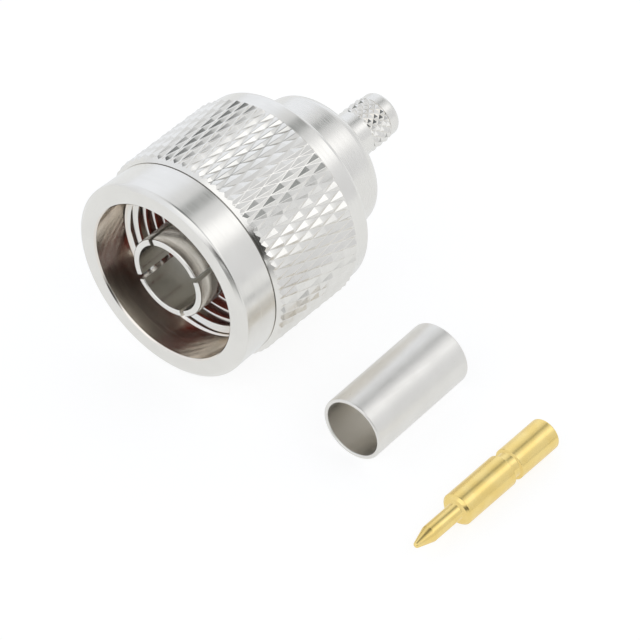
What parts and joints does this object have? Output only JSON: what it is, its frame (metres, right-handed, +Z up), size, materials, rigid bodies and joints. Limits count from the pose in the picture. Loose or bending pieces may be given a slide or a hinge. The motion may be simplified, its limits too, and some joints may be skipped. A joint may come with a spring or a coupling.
{
  "type": "n type connector",
  "caption": "Coaxial crimp plug with a knurled coupling nut that spins, with its loose crimp ferrule and gold centre contact laid beside it.",
  "frame": {"origin": "on the plug's axis at the front edge of the outer contact", "axes": "-Y out of the plug's open end, +Y along the cable stem, +Z up from the surface that the three pieces lie on"},
  "size_m": [0.0446, 0.034, 0.021],
  "materials": {
    "nickel": "satin nickel plate on brass",
    "gold": "satin gold plate on brass",
    "ptfe": "smooth, waxy white",
    "silicone": "matte red-brown",
    "spring_bronze": "plain rolled strip"
  },
  "bodies": {
    "plug": {"connector_body": "nickel", "outer_contact": "nickel", "insulator": "ptfe", "gasket": "silicone", "retaining_ring": "spring_bronze", "crimp_ferrule": "nickel", "centre_contact": "gold"},
    "nut": {"coupling_nut": "nickel"}
  },
  "joints": [
    {"name": "nut_spin", "type": "hinge", "parent": "plug", "child": "nut", "pos_m": [0, 0.00928, 0], "axis": [0, 1, 0], "continuous": true}
  ]
}
